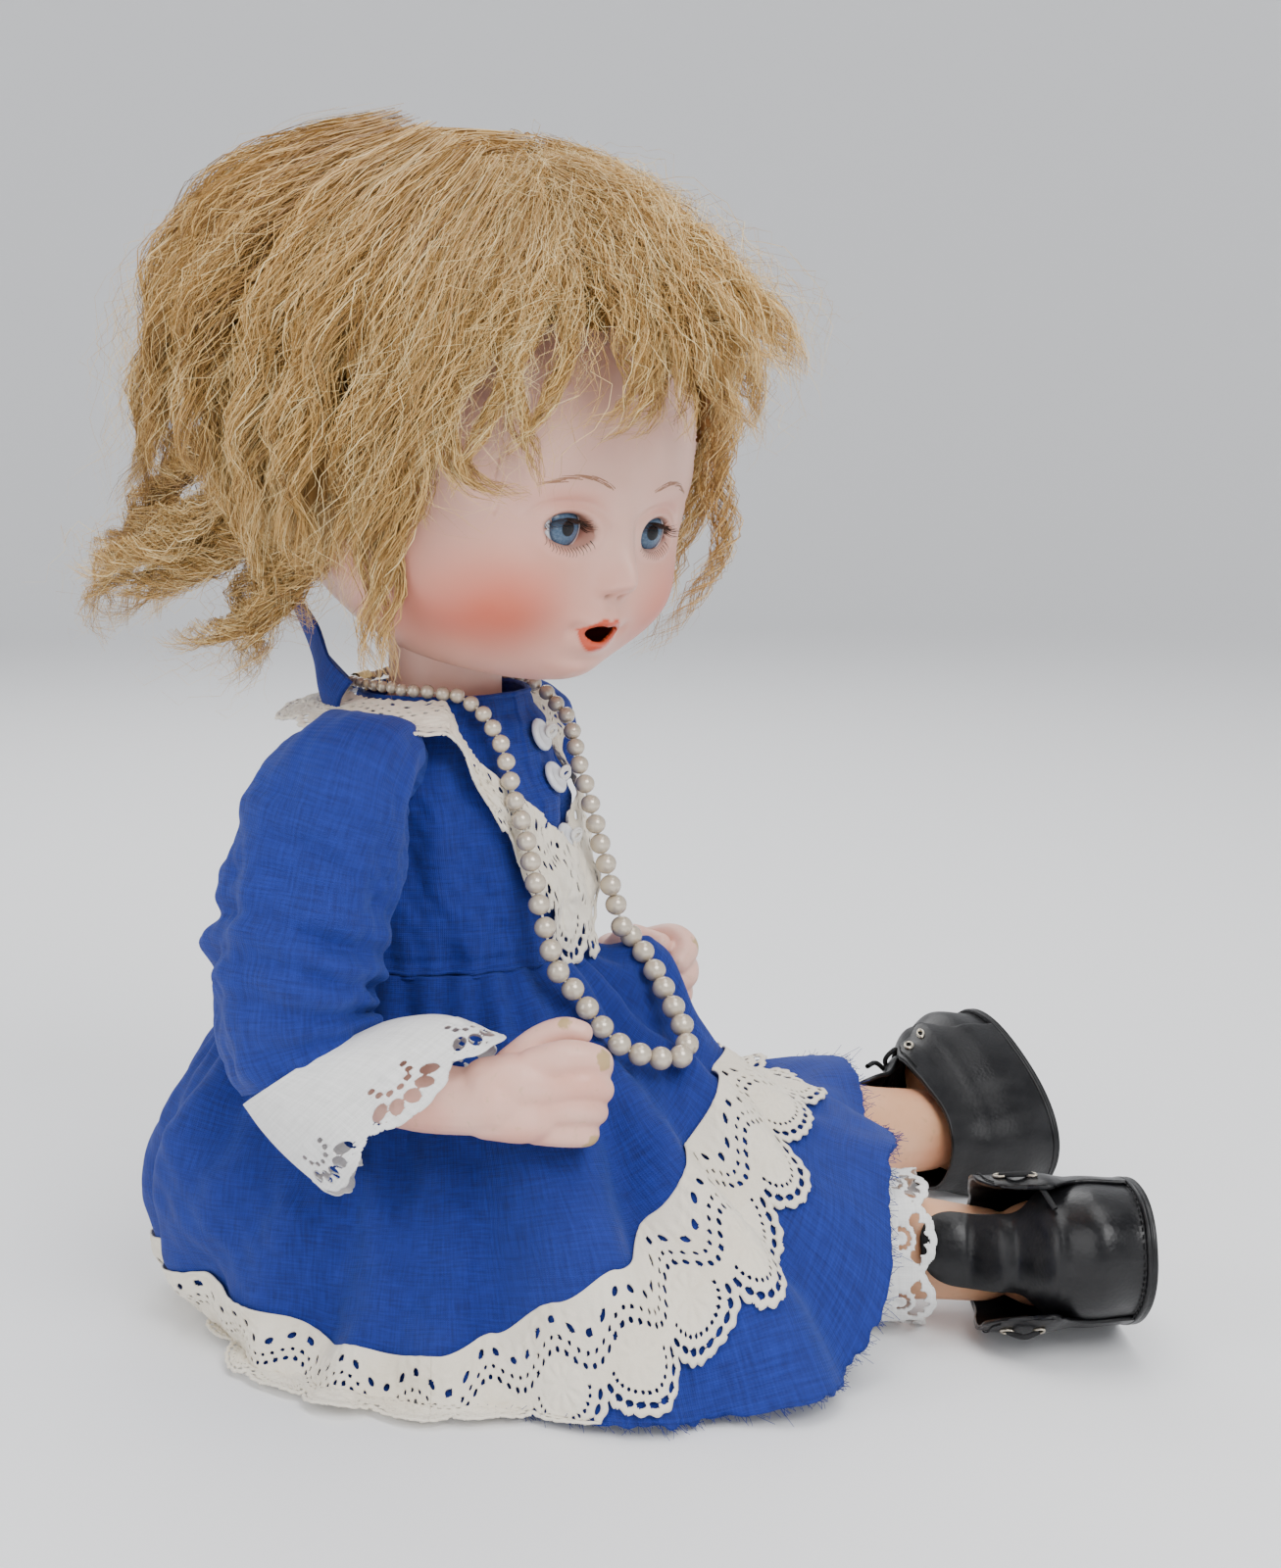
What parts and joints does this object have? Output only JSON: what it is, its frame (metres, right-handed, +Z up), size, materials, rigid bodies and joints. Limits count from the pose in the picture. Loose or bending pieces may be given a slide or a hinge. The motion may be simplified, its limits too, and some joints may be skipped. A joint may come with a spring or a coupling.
{
  "type": "porcelain doll",
  "caption": "Seated antique-style doll with a bisque socket head, sleep eyes, mohair wig, strung jointed body, lace-trimmed cotton dress, pearl necklace and leather shoes.",
  "frame": {"origin": "floor under the middle of the seat, between the hip joints", "axes": "+Z up, the torso faces -Y, the doll's right side is -X"},
  "size_m": [0.2598, 0.3006, 0.3107],
  "materials": {
    "bisque": "unglazed bisque, satin, painted cheeks, lips, brows and lashes",
    "brass": "worn plated",
    "card": "pressed card",
    "composition": "painted and varnished sawdust-and-glue composition",
    "cotton": "plain-weave cotton with slubs",
    "elastic": "cloth-covered",
    "glass": "polished",
    "lace": "cream cutwork lace",
    "lawn": "white cotton with eyelet embroidery",
    "lead": "dull grey",
    "leather": "black, lightly polished",
    "mohair": "brushed golden blond mohair",
    "net": "dark wig net",
    "pearl": "champagne pearl lustre",
    "plaster": "chalky",
    "steel": "drawn wire",
    "tape": "dark woven tape",
    "wood": "turned, unpainted"
  },
  "bodies": {
    "torso": {"torso_front_shell": "composition", "torso_back_shell": "composition", "arm_elastic": "elastic", "leg_elastic_right": "elastic", "leg_elastic_left": "elastic", "dress_bodice": "cotton", "dress_skirt": "cotton", "lace_collar": "lace", "skirt_lace_band": "lace", "button_top": "lawn", "button_middle": "lawn", "button_bottom": "lawn", "back_closure_tape": "tape", "bloomers_seat": "lawn", "pearl_necklace": "pearl", "necklace_clasp": "brass"},
    "neck": {"neck_button": "wood", "neck_hook": "steel"},
    "head": {"head_shell": "bisque", "pate": "card", "wig_cap": "net", "wig_hair": "mohair", "mouth_backing": "tape", "eye_plaster_right": "plaster", "eye_plaster_left": "plaster"},
    "sleep_eyes": {"eyeball_right": "glass", "eyeball_left": "glass", "eye_rocker": "steel", "eye_weight": "lead"},
    "right_arm": {"arm_right": "composition", "arm_hook_right": "steel", "sleeve_right": "cotton", "cuff_lace_right": "lawn"},
    "left_arm": {"arm_left": "composition", "arm_hook_left": "steel", "sleeve_left": "cotton", "cuff_lace_left": "lawn"},
    "right_leg": {"leg_right": "composition", "leg_pin_right": "steel", "bloomer_leg_right": "lawn", "bloomer_lace_right": "lawn", "shoe_upper_right": "leather", "shoe_eyelet_low_inner_right": "brass", "shoe_eyelet_high_inner_right": "brass", "shoe_eyelet_low_outer_right": "brass", "shoe_eyelet_high_outer_right": "brass", "shoe_sole_right": "leather", "shoe_lace_right": "leather"},
    "left_leg": {"leg_left": "composition", "leg_pin_left": "steel", "bloomer_leg_left": "lawn", "bloomer_lace_left": "lawn", "shoe_upper_left": "leather", "shoe_eyelet_low_inner_left": "brass", "shoe_eyelet_high_inner_left": "brass", "shoe_eyelet_low_outer_left": "brass", "shoe_eyelet_high_outer_left": "brass", "shoe_sole_left": "leather", "shoe_lace_left": "leather"}
  },
  "joints": [
    {"name": "head_turn", "type": "hinge", "parent": "torso", "child": "neck", "pos_m": [0, -0.001, 0.169], "axis": [0, 0, 1], "range_deg": [-20, 40]},
    {"name": "head_nod", "type": "hinge", "parent": "neck", "child": "head", "pos_m": [0, -0.001, 0.169], "axis": [0.9135, -0.4067, 0], "range_deg": [-10, 6]},
    {"name": "eyes_sleep", "type": "hinge", "parent": "head", "child": "sleep_eyes", "pos_m": [-0.01893, -0.04874, 0.21092], "axis": [0.9156, -0.3927, -0.0861], "range_deg": [0, 75]},
    {"name": "right_shoulder", "type": "hinge", "parent": "torso", "child": "right_arm", "pos_m": [-0.05, 0.003, 0.149], "axis": [-1, 0, 0], "range_deg": [0, 70]},
    {"name": "left_shoulder", "type": "hinge", "parent": "torso", "child": "left_arm", "pos_m": [0.05, 0.003, 0.149], "axis": [-1, 0, 0], "range_deg": [0, 70]},
    {"name": "right_hip", "type": "hinge", "parent": "torso", "child": "right_leg", "pos_m": [-0.03, -0.004, 0.029], "axis": [0.9135, 0.4067, 0], "range_deg": [0, 90]},
    {"name": "left_hip", "type": "hinge", "parent": "torso", "child": "left_leg", "pos_m": [0.03, -0.004, 0.029], "axis": [0.6947, 0.7193, 0], "range_deg": [0, 90]}
  ]
}
